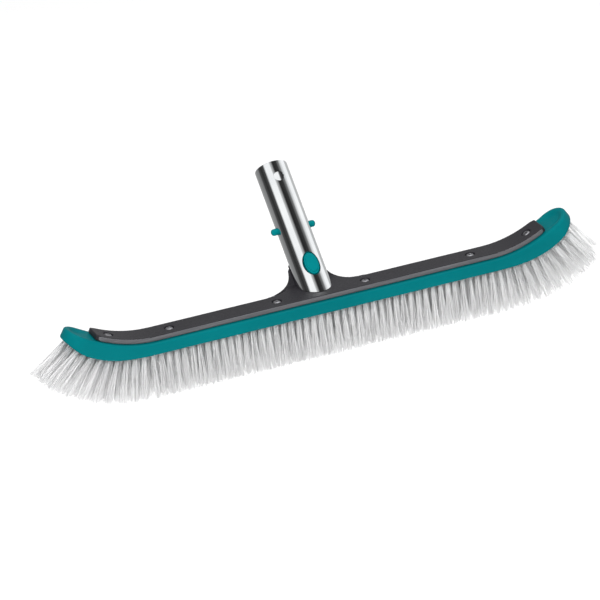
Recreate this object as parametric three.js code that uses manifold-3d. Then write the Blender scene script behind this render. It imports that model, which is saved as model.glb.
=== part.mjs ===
// Pool wall brush with a curved metal-backed head and a quick-release handle socket.
// Millimetres. +X runs along the head, +Y is the side that the handle leans to, +Z is up.
// The origin is the middle of the bristle tips, on the surface that the brush stands on.
import * as THREE from 'three';
import { mergeVertices } from 'three/addons/utils/BufferGeometryUtils.js';
import Module from 'manifold-3d';

const wasm = await Module();
wasm.setup();

// ---- Driving dimensions ----
const GAP = 0.3;                    // clearance between pieces that rest on each other

const BRISTLE_LENGTH = 38;          // free length below the body
const BRISTLE_ROWS = 5;
const ROW_PITCH = 5.6;
const ROW_THICKNESS = 4.8;

const BODY_WIDTH = 31;
const BODY_THICKNESS = 10;          // along the straight middle
const BODY_END_SWELL = 4;           // extra thickness where the body turns up
const STRAIGHT_HALF = 147;          // half of the straight middle
const TURN_UP_RADIUS = 107;         // radius of the top face at the turned-up ends
const TIP_START = 200;              // where the turn-up eases off towards the tip
const TIP_RADIUS = 334;
const BODY_HALF_ARC = 225;          // from the middle to each tip, along the top face

const PLATE_WIDTH = 23.4;
const PLATE_THICKNESS = 4.4;
const PLATE_HALF_ARC = 201;
const PLATE_END_BEVEL = 4;

const SCREW_ARCS = [-187, -133, -39, 39, 133, 187];
const SCREW_NAMES = ['left_outer', 'left_middle', 'left_inner', 'right_inner', 'right_middle', 'right_outer'];
const SCREW_HEAD_RADIUS = 3.5;
const SCREW_HEAD_HEIGHT = 1.7;
const SCREW_SHANK_RADIUS = 1.8;
const SCREW_LENGTH = 9;             // below the head
const SCREW_RECESS_RADIUS = 4.2;
const SCREW_RECESS_DEPTH = 2.0;

const TUBE_RADIUS = 14;             // slips inside a standard telescopic pole
const TUBE_WALL = 1.3;
const HANDLE_TILT = THREE.MathUtils.degToRad(45);
const HANDLE_Y = 16.5;              // where the tube's axis meets the plate's top face
const TUBE_TOP = 111;               // along the tube's axis from the plate's top face
const TOP_HOLE_HEIGHT = 96.5;
const TOP_HOLE_RADIUS = 4.4;
const PIN_HEIGHT = 53.5;
const PIN_RADIUS = 2.9;
const PIN_PROUD = 5.5;              // how far each pin stands out of the tube

const BUTTON_HEIGHT = 13;
const BUTTON_HALF_WIDTH = 5.9;
const BUTTON_HALF_LENGTH = 9.7;
const BUTTON_SLOT_MARGIN = 1.3;     // gap between the button and the edge of its slot
const BUTTON_DOME = 1.0;            // how far the button stands proud of the tube

const CRADLE_WALL = 2.2;
const WEB_FRONT = 2;                // local depth of the web's front, just behind the tube's axis
const WEB_THICKNESS = 5;
const NECK_REACH = 44;              // half the neck's width where it leaves the plate's edge
const WEB_TOP = 16;                 // height at which the web's flares meet the tube
const CRADLE_TOP = 34;              // height of the cradle's tongue behind the tube
const CRADLE_SIDE_TOP = 11;         // height of the cradle's lips beside the tube

const CRADLE_SCREW_HEIGHTS = [20, 29];
const CRADLE_SCREW_RADIUS = 1.6;
const CARRIER_FRONT = 4.2;          // local depth where the carrier's flat face starts
const COVER_BACK = -3.3;            // local depth where the cover's flat face ends
const CLIP_TOP = 70;
const CLIP_SCREW_HEIGHT = 64;
const CLIP_SCREW_OFFSET = 5.5;
const CLIP_SCREW_RADIUS = 1.2;
const RAMP = 9.65;                  // |x| - y on the two 45 degree ramps under the button

// ---- Dimensions that follow from them ----
const SLIDER_TOP = PIN_HEIGHT + 4;
const BODY_UNDER_Z = BRISTLE_LENGTH;
const BODY_TOP_Z = BODY_UNDER_Z + BODY_THICKNESS;
const PLATE_TOP_Z = BODY_TOP_Z + GAP + PLATE_THICKNESS;
const BORE_RADIUS = TUBE_RADIUS - TUBE_WALL;
const CRADLE_BORE = TUBE_RADIUS + GAP;
const CRADLE_RADIUS = CRADLE_BORE + CRADLE_WALL;
const CARRIER_RADIUS = BORE_RADIUS - GAP;

// The handle's own frame: its Z runs up the tube, its -Y faces the user's thumb.
const handle = new THREE.Group();
handle.position.set(0, HANDLE_Y, PLATE_TOP_Z);
handle.rotation.x = -HANDLE_TILT;
handle.updateMatrixWorld(true);
const fromHandle = handle.matrixWorld.clone();
const toHandle = fromHandle.clone().invert();

// ---- Solids ----
function signedVolume(geometry) {
  const corner = [new THREE.Vector3(), new THREE.Vector3(), new THREE.Vector3()];
  const index = geometry.index.array;
  let sum = 0;
  for (let i = 0; i < index.length; i += 3) {
    corner.forEach((point, k) => point.fromBufferAttribute(geometry.attributes.position, index[i + k]));
    sum += corner[0].dot(corner[1].clone().cross(corner[2])) / 6;
  }
  return sum;
}

function facingOut(geometry) {
  if (signedVolume(geometry) < 0) {
    const index = geometry.index.array;
    for (let i = 0; i < index.length; i += 3) {
      [index[i], index[i + 1]] = [index[i + 1], index[i]];
    }
  }
  return geometry;
}

function solid(geometry) {
  const bare = geometry.index ? geometry.toNonIndexed() : geometry.clone();
  bare.deleteAttribute('normal');
  bare.deleteAttribute('uv');
  const merged = facingOut(mergeVertices(bare, 1e-4));
  return new wasm.Manifold(new wasm.Mesh({
    numProp: 3,
    vertProperties: new Float32Array(merged.attributes.position.array),
    triVerts: new Uint32Array(merged.index.array),
  }));
}

function geometryOf(manifold) {
  const mesh = manifold.getMesh();
  const geometry = new THREE.BufferGeometry();
  geometry.setAttribute('position', new THREE.BufferAttribute(new Float32Array(mesh.vertProperties), 3));
  geometry.setIndex(new THREE.BufferAttribute(new Uint32Array(mesh.triVerts), 1));
  geometry.computeVertexNormals();
  return geometry;
}

function join(...solids) {
  return solids.reduce((sum, next) => sum.add(next));
}

function cut(base, ...tools) {
  return tools.reduce((rest, tool) => rest.subtract(tool), base);
}

function moved(base, matrix) {
  return solid(geometryOf(base).applyMatrix4(matrix));
}

function atHeight(base, x, y, z) {
  return moved(base, new THREE.Matrix4().makeTranslation(x, y, z));
}

function box(low, high) {
  const size = high.map((value, i) => value - low[i]);
  const middle = high.map((value, i) => (value + low[i]) / 2);
  return solid(new THREE.BoxGeometry(...size).translate(...middle));
}

// A cylinder between two heights, along 'x', 'y' or 'z'.
function cylinder(radius, from, to, axis = 'z', segments = 32) {
  const geometry = new THREE.CylinderGeometry(radius, radius, to - from, segments);
  geometry.translate(0, (from + to) / 2, 0);
  if (axis === 'z') geometry.rotateX(Math.PI / 2);
  if (axis === 'x') geometry.rotateZ(-Math.PI / 2);
  return solid(geometry);
}

// An outline of [x, z] points, extruded along Y between two depths.
function extrudeY(points, from, to) {
  const shape = new THREE.Shape(points.map(([x, z]) => new THREE.Vector2(x, -z)));
  const geometry = new THREE.ExtrudeGeometry(shape, { depth: to - from, bevelEnabled: false });
  return solid(geometry.rotateX(-Math.PI / 2).translate(0, from, 0));
}

// An outline of [x, y] points, extruded along Z between two heights.
function extrudeZ(points, from, to) {
  const shape = new THREE.Shape(points.map(([x, y]) => new THREE.Vector2(x, y)));
  return solid(new THREE.ExtrudeGeometry(shape, { depth: to - from, bevelEnabled: false }).translate(0, 0, from));
}

function mirrored(points) {
  return [...points, ...points.map(([x, z]) => [-x, z]).reverse()];
}

function ellipse(halfWidth, halfHeight, centreHeight, segments = 36) {
  return Array.from({ length: segments }, (_, i) => {
    const turn = 2 * Math.PI * i / segments;
    return [halfWidth * Math.cos(turn), centreHeight + halfHeight * Math.sin(turn)];
  });
}

// Points on a curve that leaves `start` and reaches `end`, pulled towards `control`.
function bend(start, control, end, steps) {
  const curve = new THREE.QuadraticBezierCurve(
    new THREE.Vector2(...start), new THREE.Vector2(...control), new THREE.Vector2(...end));
  return curve.getPoints(steps).map((point) => [point.x, point.y]);
}

// ---- The head's curve: straight in the middle, an arc at each end ----
function spine(arc) {
  const side = Math.sign(arc) || 1;
  const reach = Math.abs(arc);
  const bent = Math.min(Math.max(0, reach - STRAIGHT_HALF), TIP_START - STRAIGHT_HALF) / TURN_UP_RADIUS;
  const angle = bent + Math.max(0, reach - TIP_START) / TIP_RADIUS;
  const along = Math.min(reach, STRAIGHT_HALF) + TURN_UP_RADIUS * Math.sin(bent)
    + TIP_RADIUS * (Math.sin(angle) - Math.sin(bent));
  const rise = TURN_UP_RADIUS * (1 - Math.cos(bent)) + TIP_RADIUS * (Math.cos(bent) - Math.cos(angle));
  return { x: side * along, z: BODY_TOP_Z + rise, angle: side * angle };
}

function onSpine(arc, across, height) {
  const { x, z, angle } = spine(arc);
  return new THREE.Vector3(x - Math.sin(angle) * height, across, z + Math.cos(angle) * height);
}

// A solid through cross-sections, each a ring of [across, height] points at one arc length.
function sweep(arcs, sectionAt) {
  const positions = [];
  let count = 0;
  for (const arc of arcs) {
    const ring = sectionAt(arc);
    count = ring.length;
    ring.forEach(([across, height]) => positions.push(...onSpine(arc, across, height).toArray()));
  }
  const index = [];
  for (let ring = 0; ring + 1 < arcs.length; ring += 1) {
    for (let i = 0; i < count; i += 1) {
      const a = ring * count + i;
      const b = ring * count + (i + 1) % count;
      index.push(a, b, a + count, b, b + count, a + count);
    }
  }
  const last = (arcs.length - 1) * count;
  for (let i = 1; i + 1 < count; i += 1) {
    index.push(0, i + 1, i, last, last + i, last + i + 1);
  }
  const geometry = new THREE.BufferGeometry();
  geometry.setAttribute('position', new THREE.Float32BufferAttribute(positions, 3));
  geometry.setIndex(index);
  return solid(geometry);
}

function evenArcs(half, turnSteps) {
  const end = Array.from({ length: turnSteps + 1 }, (_, i) =>
    STRAIGHT_HALF + (half - STRAIGHT_HALF) * i / turnSteps);
  return [...end.map((arc) => -arc).reverse(), ...end];
}

function smooth(from, to, value) {
  return THREE.MathUtils.smoothstep(value, from, to);
}

function bodyThickness(arc) {
  const reach = Math.abs(arc);
  const swell = smooth(STRAIGHT_HALF, STRAIGHT_HALF + 50, reach);
  const taper = smooth(STRAIGHT_HALF + 55, BODY_HALF_ARC + 8, reach);
  return BODY_THICKNESS + BODY_END_SWELL * (swell - 1.5 * taper);
}

// Half the width of a strip whose ends are rounded to half circles.
function roundEnded(arc, halfArc, halfWidth) {
  const intoEnd = Math.max(0, Math.abs(arc) - (halfArc - halfWidth));
  return Math.sqrt(Math.max(0, halfWidth ** 2 - intoEnd ** 2));
}

// ---- Head ----
function screwTool(arc, radius, from, to) {
  const { angle } = spine(arc);
  const geometry = new THREE.CylinderGeometry(radius, radius, to - from, 24);
  geometry.rotateX(Math.PI / 2).translate(0, 0, (from + to) / 2);
  geometry.rotateY(-angle).translate(...onSpine(arc, 0, 0).toArray());
  return solid(geometry);
}

function makeBody() {
  const tip = BODY_HALF_ARC - 0.25;
  const roundStart = BODY_HALF_ARC - BODY_WIDTH / 2;
  const roundArcs = Array.from({ length: 9 }, (_, i) =>
    roundStart + (tip - roundStart) * Math.sin(Math.PI / 2 * i / 8));
  const turnArcs = Array.from({ length: 12 }, (_, i) =>
    STRAIGHT_HALF + (roundStart - STRAIGHT_HALF) * i / 12);
  const half = [...turnArcs, ...roundArcs];
  const arcs = [...half.map((arc) => -arc).reverse(), ...half];
  const strip = sweep(arcs, (arc) => {
    const w = roundEnded(arc, BODY_HALF_ARC, BODY_WIDTH / 2);
    const t = bodyThickness(arc);
    const c = Math.min(2, w * 0.4);
    return [[-w + c, -t], [w - c, -t], [w, -t + c], [w, -c], [w - c, 0], [-w + c, 0], [-w, -c], [-w, -t + c]];
  });
  const depth = SCREW_LENGTH - (PLATE_THICKNESS - SCREW_RECESS_DEPTH);
  const holes = SCREW_ARCS.map((arc) => screwTool(arc, SCREW_SHANK_RADIUS + GAP, -depth - GAP, 2));
  return cut(strip, ...holes);
}

// The neck that carries the tube: a foot behind the plate, a tilted web and a half-round cradle.
function makeNeck() {
  const footBack = 33.5;
  const foot = extrudeZ(mirrored([
    [NECK_REACH, 0],
    [NECK_REACH, PLATE_WIDTH / 2],
    ...bend([NECK_REACH, PLATE_WIDTH / 2], [24, 12], [21, 24], 10).slice(1),
    [20, footBack - 4],
    [13, footBack],
  ]), PLATE_TOP_Z - PLATE_THICKNESS, PLATE_TOP_Z);
  const web = moved(extrudeY(mirrored([
    ...bend([NECK_REACH - 2, -6], [18.5, -1.5], [16.4, WEB_TOP], 14),
    [10, WEB_TOP + 1],
  ]), WEB_FRONT, WEB_FRONT + WEB_THICKNESS), fromHandle);
  const behindAxis = box([-CRADLE_RADIUS - 1, 0, -20], [CRADLE_RADIUS + 1, CRADLE_RADIUS + 1, 60]);
  const slope = Math.atan2(CRADLE_TOP - CRADLE_SIDE_TOP, CRADLE_RADIUS);
  const aboveLips = solid(new THREE.BoxGeometry(60, 160, 60).translate(0, 0, 30)
    .rotateX(slope).translate(0, 0, CRADLE_SIDE_TOP));
  const cradle = moved(cut(cylinder(CRADLE_RADIUS, -20, 50).intersect(behindAxis), aboveLips), fromHandle);
  const bore = moved(cylinder(CRADLE_BORE, -30, 60), fromHandle);
  const aboveFoot = box([-60, -60, PLATE_TOP_Z], [60, 120, 150]);
  const fromFoot = box([-60, -60, PLATE_TOP_Z - PLATE_THICKNESS], [60, 120, 150]);
  const upper = cut(join(web, cradle).intersect(fromFoot), bore.intersect(aboveFoot));
  return join(foot, upper);
}

function makePlate() {
  const bevelArcs = [PLATE_HALF_ARC - PLATE_END_BEVEL, PLATE_HALF_ARC];
  const turnArcs = Array.from({ length: 12 }, (_, i) =>
    STRAIGHT_HALF + (bevelArcs[0] - STRAIGHT_HALF) * i / 12);
  const half = [...turnArcs, ...bevelArcs];
  const arcs = [...half.map((arc) => -arc).reverse(), ...half];
  const edge = 0.6;
  const strip = sweep(arcs, (arc) => {
    const w = Math.abs(arc) > bevelArcs[0] ? PLATE_WIDTH / 2 - PLATE_END_BEVEL / 2 : PLATE_WIDTH / 2;
    const top = GAP + PLATE_THICKNESS;
    return [[-w, GAP], [w, GAP], [w, top - edge], [w - edge, top], [-w + edge, top], [-w, top - edge]];
  });
  const top = GAP + PLATE_THICKNESS;
  const holes = SCREW_ARCS.flatMap((arc) => [
    screwTool(arc, SCREW_RECESS_RADIUS, top - SCREW_RECESS_DEPTH, top + 2),
    screwTool(arc, SCREW_SHANK_RADIUS + GAP, -1, top),
  ]);
  const cradleScrewHoles = CRADLE_SCREW_HEIGHTS.map((height) =>
    moved(atHeight(cylinder(CRADLE_SCREW_RADIUS + GAP, 10, 40, 'y', 20), 0, 0, height), fromHandle));
  return cut(join(strip, makeNeck()), ...holes, ...cradleScrewHoles);
}

function makeScrew(arc) {
  const under = GAP + PLATE_THICKNESS - SCREW_RECESS_DEPTH + 0.1;
  const profile = [
    [0, under - SCREW_LENGTH],
    [SCREW_SHANK_RADIUS * 0.3, under - SCREW_LENGTH],
    [SCREW_SHANK_RADIUS, under - SCREW_LENGTH + 2],
    [SCREW_SHANK_RADIUS, under],
    [SCREW_HEAD_RADIUS, under],
    [SCREW_HEAD_RADIUS, under + SCREW_HEAD_HEIGHT * 0.35],
    [SCREW_HEAD_RADIUS * 0.8, under + SCREW_HEAD_HEIGHT * 0.8],
    [SCREW_HEAD_RADIUS * 0.4, under + SCREW_HEAD_HEIGHT],
    [0, under + SCREW_HEAD_HEIGHT],
  ].map(([r, z]) => new THREE.Vector2(r, z));
  const { angle } = spine(arc);
  const geometry = new THREE.LatheGeometry(profile, 20).rotateX(Math.PI / 2);
  geometry.rotateY(-angle).translate(...onSpine(arc, 0, 0).toArray());
  return solid(geometry);
}

function makeBristleRow(row) {
  const across = (row - (BRISTLE_ROWS - 1) / 2) * ROW_PITCH;
  const inset = 4;
  const endRadius = BODY_WIDTH / 2 - inset + ROW_THICKNESS / 2;
  const endArc = BODY_HALF_ARC - inset - endRadius + Math.sqrt(endRadius ** 2 - across ** 2);
  return sweep(evenArcs(endArc, 14), (arc) => {
    const top = -bodyThickness(arc) - GAP;
    const w = ROW_THICKNESS / 2;
    const bottom = top - (BRISTLE_LENGTH - GAP);
    return [[across - w, bottom], [across + w, bottom], [across + w, top], [across - w, top]];
  });
}

// ---- Handle, in its own frame ----
function makeTube() {
  const wall = cut(cylinder(TUBE_RADIUS, -30, TUBE_TOP, 'z', 48), cylinder(BORE_RADIUS, -31, TUBE_TOP + 1, 'z', 48));
  const belowPlate = moved(box([-60, -60, -60], [60, 120, PLATE_TOP_Z + GAP]), toHandle);
  const slot = extrudeY(
    ellipse(BUTTON_HALF_WIDTH + BUTTON_SLOT_MARGIN, BUTTON_HALF_LENGTH + BUTTON_SLOT_MARGIN, BUTTON_HEIGHT), -20, -5);
  const pinHoles = atHeight(cylinder(PIN_RADIUS + GAP, -20, 20, 'x', 24), 0, 0, PIN_HEIGHT);
  const topHole = atHeight(cylinder(TOP_HOLE_RADIUS, -20, 20, 'y', 28), 0, 0, TOP_HOLE_HEIGHT);
  const screwHoles = CRADLE_SCREW_HEIGHTS.map((height) =>
    atHeight(cylinder(CRADLE_SCREW_RADIUS + GAP, 5, 20, 'y', 20), 0, 0, height));
  return cut(wall, belowPlate, slot, pinHoles, topHole, ...screwHoles);
}

function makeCradleScrew(height) {
  const seat = CRADLE_RADIUS + 0.15;
  const shank = cylinder(CRADLE_SCREW_RADIUS, CARRIER_FRONT + 3, seat + 0.1, 'y', 20);
  const head = cylinder(3, seat, seat + 1.8, 'y', 20);
  return atHeight(join(shank, head), 0, 0, height);
}

function makeCarrier() {
  const back = box([-20, CARRIER_FRONT, 15], [20, 20, CLIP_TOP]);
  const bridge = box([-20, COVER_BACK + GAP, SLIDER_TOP + GAP], [20, CARRIER_FRONT + 1, CLIP_TOP]);
  const round = cylinder(CARRIER_RADIUS, 10, CLIP_TOP, 'z', 36);
  const belowPlate = moved(box([-60, -60, -60], [60, 120, PLATE_TOP_Z + 1]), toHandle);
  const cradleHoles = CRADLE_SCREW_HEIGHTS.map((height) =>
    atHeight(cylinder(CRADLE_SCREW_RADIUS + GAP, CARRIER_FRONT + 2.5, 20, 'y', 20), 0, 0, height));
  const clipHoles = [-CLIP_SCREW_OFFSET, CLIP_SCREW_OFFSET].map((x) =>
    atHeight(cylinder(CLIP_SCREW_RADIUS + GAP, -6, 4, 'y', 16), x, 0, CLIP_SCREW_HEIGHT));
  return cut(join(back, bridge).intersect(round), belowPlate, ...cradleHoles, ...clipHoles);
}

function makeCover() {
  const front = box([-20, -20, 31], [20, COVER_BACK, CLIP_TOP]);
  const round = cylinder(CARRIER_RADIUS, 10, CLIP_TOP, 'z', 36);
  const hollow = box([-7.5, -20, 36], [7.5, COVER_BACK - 2.6, PIN_HEIGHT + 6]);
  const clipHoles = [-CLIP_SCREW_OFFSET, CLIP_SCREW_OFFSET].flatMap((x) => [
    atHeight(cylinder(CLIP_SCREW_RADIUS + GAP, -20, 0, 'y', 16), x, 0, CLIP_SCREW_HEIGHT),
    atHeight(cylinder(2.5, -20, -6.5, 'y', 20), x, 0, CLIP_SCREW_HEIGHT),
  ]);
  return cut(front.intersect(round), hollow, ...clipHoles);
}

function makeClipScrew(x) {
  const shank = cylinder(CLIP_SCREW_RADIUS, -7, 3, 'y', 16);
  const head = cylinder(2.1, -8.1, -6.7, 'y', 16);
  return atHeight(join(shank, head), x, 0, CLIP_SCREW_HEIGHT);
}

// The button: an oval thumb face, retaining tabs, and a notched block that squeezes the two legs.
function makeButton() {
  const proud = -TUBE_RADIUS - BUTTON_DOME;
  const face = extrudeY(ellipse(BUTTON_HALF_WIDTH, BUTTON_HALF_LENGTH, 0), proud + 0.8, -8);
  const dome = extrudeY(ellipse(BUTTON_HALF_WIDTH * 0.8, BUTTON_HALF_LENGTH * 0.8, 0), proud, -8);
  const tabs = box([-5, -11.2, -13], [5, -9.4, 13]);
  const block = box([-9.2, -8.4, -8], [9.2, -1.7, 8]).intersect(cylinder(BORE_RADIUS - GAP, -20, 20));
  const notch = extrudeZ(
    [[-RAMP - 4, 4], [0, -RAMP], [RAMP + 4, 4]], -20, 20);
  return atHeight(cut(join(face, dome, tabs, block), notch), 0, 0, BUTTON_HEIGHT);
}

// A lock slider: the pin that catches the pole, its block, and the leg that reaches the button.
function makeSlider(side) {
  const pinTip = TUBE_RADIUS + PIN_PROUD;
  const pinProfile = [
    [0, 8], [PIN_RADIUS, 8], [PIN_RADIUS, pinTip - 2],
    [PIN_RADIUS * 0.85, pinTip - 0.9], [PIN_RADIUS * 0.5, pinTip - 0.2], [0, pinTip],
  ].map(([r, h]) => new THREE.Vector2(r, h));
  const pin = atHeight(solid(new THREE.LatheGeometry(pinProfile, 24).rotateZ(-Math.PI / 2)), 0, 0, PIN_HEIGHT);
  const block = box([7.5, -3, PIN_HEIGHT - 4], [11.2, 3.9, SLIDER_TOP]);
  const leg = extrudeZ([[5.6, -3], [6.5, -3], [8, -1.5], [8, 3.9], [5.6, 3.9]], 6, PIN_HEIGHT - 5);
  const shoulder = box([5.6, -3, PIN_HEIGHT - 9], [11.2, 3.9, PIN_HEIGHT - 3.5]);
  const slider = join(pin, block, leg, shoulder);
  return side > 0 ? slider : moved(slider, new THREE.Matrix4().makeScale(-1, 1, 1));
}

// The coil spring that keeps the two pins out, as one winding.
function makeSpring() {
  const half = 7.3;
  const turns = 5;
  const wire = 0.45;
  class Coil extends THREE.Curve {
    getPoint(t, target = new THREE.Vector3()) {
      const turn = 2 * Math.PI * turns * t;
      const x = (half - wire) * (2 * t - 1);
      return target.set(x, 2.2 * Math.cos(turn), PIN_HEIGHT + 2.2 * Math.sin(turn));
    }
  }
  const section = new THREE.Shape();
  section.absarc(0, 0, wire, 0, 2 * Math.PI, false);
  return solid(new THREE.ExtrudeGeometry(section, {
    extrudePath: new Coil(), steps: turns * 14, curveSegments: 3, bevelEnabled: false,
  }));
}

// ---- Materials ----
function material(color, roughness, metalness) {
  return new THREE.MeshStandardMaterial({ color, roughness, metalness });
}
const teal = () => material(0x03808a, 0.45, 0);
const darkMetal = () => material(0x434248, 0.5, 0.4);
const polished = () => material(0xd8dadc, 0.12, 1);
const screwSteel = () => material(0x8a8c90, 0.35, 1);
const blackPlastic = () => material(0x1c1d20, 0.6, 0);
const nylon = () => material(0xe6e7e8, 0.7, 0);

function piece(name, manifold, look) {
  const mesh = new THREE.Mesh(geometryOf(manifold), look);
  mesh.name = name;
  return mesh;
}

// ---- Assembly ----
const brush = new THREE.Group();
brush.add(piece('brush_body', makeBody(), teal()));
brush.add(piece('back_plate', makePlate(), darkMetal()));
SCREW_ARCS.forEach((arc, i) => {
  brush.add(piece(`back_screw_${SCREW_NAMES[i]}`, makeScrew(arc), screwSteel()));
});
for (let row = 0; row < BRISTLE_ROWS; row += 1) {
  brush.add(piece(`bristle_row_${row + 1}`, makeBristleRow(row), nylon()));
}

handle.add(piece('handle_tube', makeTube(), polished()));
CRADLE_SCREW_HEIGHTS.forEach((height, i) => {
  handle.add(piece(`cradle_screw_${i + 1}`, makeCradleScrew(height), screwSteel()));
});
handle.add(piece('clip_carrier', makeCarrier(), blackPlastic()));
handle.add(piece('clip_cover', makeCover(), blackPlastic()));
handle.add(piece('clip_screw_left', makeClipScrew(-CLIP_SCREW_OFFSET), screwSteel()));
handle.add(piece('clip_screw_right', makeClipScrew(CLIP_SCREW_OFFSET), screwSteel()));
handle.add(piece('release_button', makeButton(), teal()));
handle.add(piece('lock_slider_left', makeSlider(-1), teal()));
handle.add(piece('lock_slider_right', makeSlider(1), teal()));
handle.add(piece('pin_spring', makeSpring(), screwSteel()));
brush.add(handle);

export default brush;
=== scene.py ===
"""A pool wall brush: bristles, moulded body, metal back and quick-release handle, round its frame."""
import math
import random

import bmesh
import bpy
from mathutils import Matrix, Vector


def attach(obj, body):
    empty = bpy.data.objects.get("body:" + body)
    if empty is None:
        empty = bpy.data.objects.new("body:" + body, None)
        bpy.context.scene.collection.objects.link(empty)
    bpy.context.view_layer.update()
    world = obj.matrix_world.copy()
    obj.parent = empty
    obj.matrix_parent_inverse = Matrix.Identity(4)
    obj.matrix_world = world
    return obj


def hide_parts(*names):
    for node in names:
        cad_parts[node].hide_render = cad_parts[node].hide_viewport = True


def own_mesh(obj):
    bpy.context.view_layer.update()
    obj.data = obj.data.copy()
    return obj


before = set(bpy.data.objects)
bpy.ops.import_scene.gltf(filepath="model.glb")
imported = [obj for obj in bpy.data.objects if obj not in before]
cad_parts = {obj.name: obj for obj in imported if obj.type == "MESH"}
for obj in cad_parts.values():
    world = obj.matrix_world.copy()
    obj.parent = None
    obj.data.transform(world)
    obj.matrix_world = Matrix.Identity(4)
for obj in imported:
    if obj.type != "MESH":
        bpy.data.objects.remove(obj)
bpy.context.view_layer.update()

MM = 0.001

# ---- Driving dimensions in metres, the same as the frame's ----
BRISTLE_LENGTH = 38 * MM
ROWS = 5
ROW_PITCH = 5.6 * MM
BODY_WIDTH = 31 * MM
BODY_THICKNESS = 10 * MM
BODY_END_SWELL = 4 * MM
BODY_HALF_ARC = 225 * MM
STRAIGHT_HALF = 147 * MM
TURN_UP_RADIUS = 107 * MM
TIP_START = 200 * MM
TIP_RADIUS = 334 * MM
BODY_TOP = BRISTLE_LENGTH + BODY_THICKNESS
PLATE_WIDTH = 23.4 * MM
PLATE_HALF_ARC = 201 * MM
PLATE_TOP = BODY_TOP + 4.7 * MM
SCREW_RECESS = 2 * MM
SCREW_ARCS = {"left_outer": -187, "left_middle": -133, "left_inner": -39,
              "right_inner": 39, "right_middle": 133, "right_outer": 187}

TUBE_RADIUS = 14 * MM
BORE_RADIUS = 12.7 * MM
TUBE_TOP = 111 * MM
HANDLE_TILT = math.radians(45)
HANDLE_FOOT = Vector((0, 16.5 * MM, PLATE_TOP))
PIN_HEIGHT = 53.5 * MM
TOP_HOLE_HEIGHT = 96.5 * MM
BUTTON_HEIGHT = 13 * MM
CRADLE_SCREW_HEIGHTS = (20 * MM, 29 * MM)

# From the handle's own frame (Z up the tube, -Y towards the thumb) to the row frame.
HANDLE = Matrix.Translation(HANDLE_FOOT) @ Matrix.Rotation(-HANDLE_TILT, 4, "X")


# ---- Camera: a little to the left of the middle and above, and tipped over ----
CAMERA_AZIMUTH = math.radians(-17.7)
CAMERA_ELEVATION = math.radians(21.7)
CAMERA_ROLL = math.radians(7.0)
CAMERA_DISTANCE = 3.577
CAMERA_LENS = 260.5
CAMERA_RIGHT = -18.9 * MM           # how far the camera stands to the side of the target
CAMERA_UP = 5.6 * MM


def make_camera():
    back = Vector((math.sin(CAMERA_AZIMUTH) * math.cos(CAMERA_ELEVATION),
                   -math.cos(CAMERA_AZIMUTH) * math.cos(CAMERA_ELEVATION),
                   math.sin(CAMERA_ELEVATION)))
    level = Vector((math.cos(CAMERA_AZIMUTH), math.sin(CAMERA_AZIMUTH), 0))
    upright = back.cross(level)
    right = level * math.cos(CAMERA_ROLL) - upright * math.sin(CAMERA_ROLL)
    up = level * math.sin(CAMERA_ROLL) + upright * math.cos(CAMERA_ROLL)
    target = Vector((0, 0, BRISTLE_LENGTH))
    place = target + back * CAMERA_DISTANCE + right * CAMERA_RIGHT + up * CAMERA_UP
    data = bpy.data.cameras.new("camera")
    data.sensor_width = 36
    data.lens = CAMERA_LENS
    data.clip_start = 0.1
    data.clip_end = 60
    camera = bpy.data.objects.new("camera", data)
    turn = Matrix((right, up, back)).transposed().to_4x4()
    camera.matrix_world = Matrix.Translation(place) @ turn
    bpy.context.scene.collection.objects.link(camera)
    bpy.context.scene.camera = camera


# ---- Node-tree helpers ----
def srgb(red, green, blue):
    def linear(value):
        share = value / 255
        return share / 12.92 if share <= 0.04045 else ((share + 0.055) / 1.055) ** 2.4
    return (linear(red), linear(green), linear(blue), 1.0)


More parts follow.
